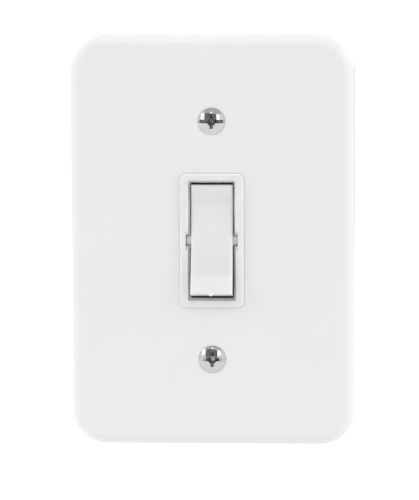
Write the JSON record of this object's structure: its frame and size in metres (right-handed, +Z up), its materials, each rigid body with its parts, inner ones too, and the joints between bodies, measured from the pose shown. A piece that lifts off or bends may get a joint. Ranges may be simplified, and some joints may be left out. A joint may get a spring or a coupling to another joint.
{
  "type": "flush light switch",
  "caption": "Upright rectangular cover plate with rounded corners, a narrow rocker in a raised bezel, and a yoke and switch module behind it for a wall box.",
  "frame": {"origin": "middle of the cover plate on the wall plane, on the centre of the two box-fixing screws", "axes": "+Y into the wall along the fixing screws, +Z up the plate, +X to the right as seen from the room"},
  "size_m": [0.076, 0.0346, 0.11],
  "materials": {
    "cover_paint": "smooth gloss powder coat",
    "plated_screw": "bright nickel plate",
    "zinc_steel": "bright zinc plate",
    "zinc_screw": "bright zinc plate",
    "washer_plastic": "translucent moulded plastic",
    "earth_brass": "bright brass",
    "frame_plastic": "moulded gloss",
    "rocker_plastic": "moulded gloss",
    "plunger_plastic": "natural moulded plastic",
    "spring_steel": "drawn spring wire",
    "brass": "rolled brass",
    "terminal_brass": "machined brass",
    "contact_silver": "silver alloy",
    "base_plastic": "moulded, satin"
  },
  "bodies": {
    "switch_unit": {"cover_plate": "cover_paint", "cover_screw_upper": "plated_screw", "cover_screw_lower": "plated_screw", "yoke": "zinc_steel", "box_screw_upper": "zinc_screw", "box_screw_lower": "zinc_screw", "captive_washer_upper": "washer_plastic", "captive_washer_lower": "washer_plastic", "earth_clamp": "earth_brass", "earth_screw": "earth_brass", "switch_frame": "frame_plastic", "fixed_contact": "contact_silver", "load_strip": "brass", "common_strip": "brass", "load_terminal": "terminal_brass", "common_terminal": "terminal_brass", "load_terminal_screw": "zinc_screw", "common_terminal_screw": "zinc_screw", "switch_base": "base_plastic"},
    "rocker": {"rocker": "rocker_plastic", "plunger_spring": "spring_steel"},
    "plunger": {"plunger": "plunger_plastic"},
    "contact_bridge": {"contact_bridge": "brass", "moving_contact": "contact_silver"}
  },
  "joints": [
    {"name": "rocker_pivot", "type": "hinge", "parent": "switch_unit", "child": "rocker", "pos_m": [0, -0.0042, 0], "axis": [1, 0, 0], "range_deg": [0, 13]},
    {"name": "bridge_pivot", "type": "hinge", "parent": "switch_unit", "child": "contact_bridge", "pos_m": [0, 0.01021, 0], "axis": [1, 0, 0], "range_deg": [-20, 0]},
    {"name": "plunger_slide", "type": "slide", "parent": "rocker", "child": "plunger", "axis": [0, -0.9936, 0.1132], "range_m": [0, 0.001], "stiffness_N_per_m": 1800, "deforming": ["plunger_spring"]}
  ],
  "couplings": [
    {"joint": "bridge_pivot", "follows": "rocker_pivot", "ratio": -1.538}
  ]
}
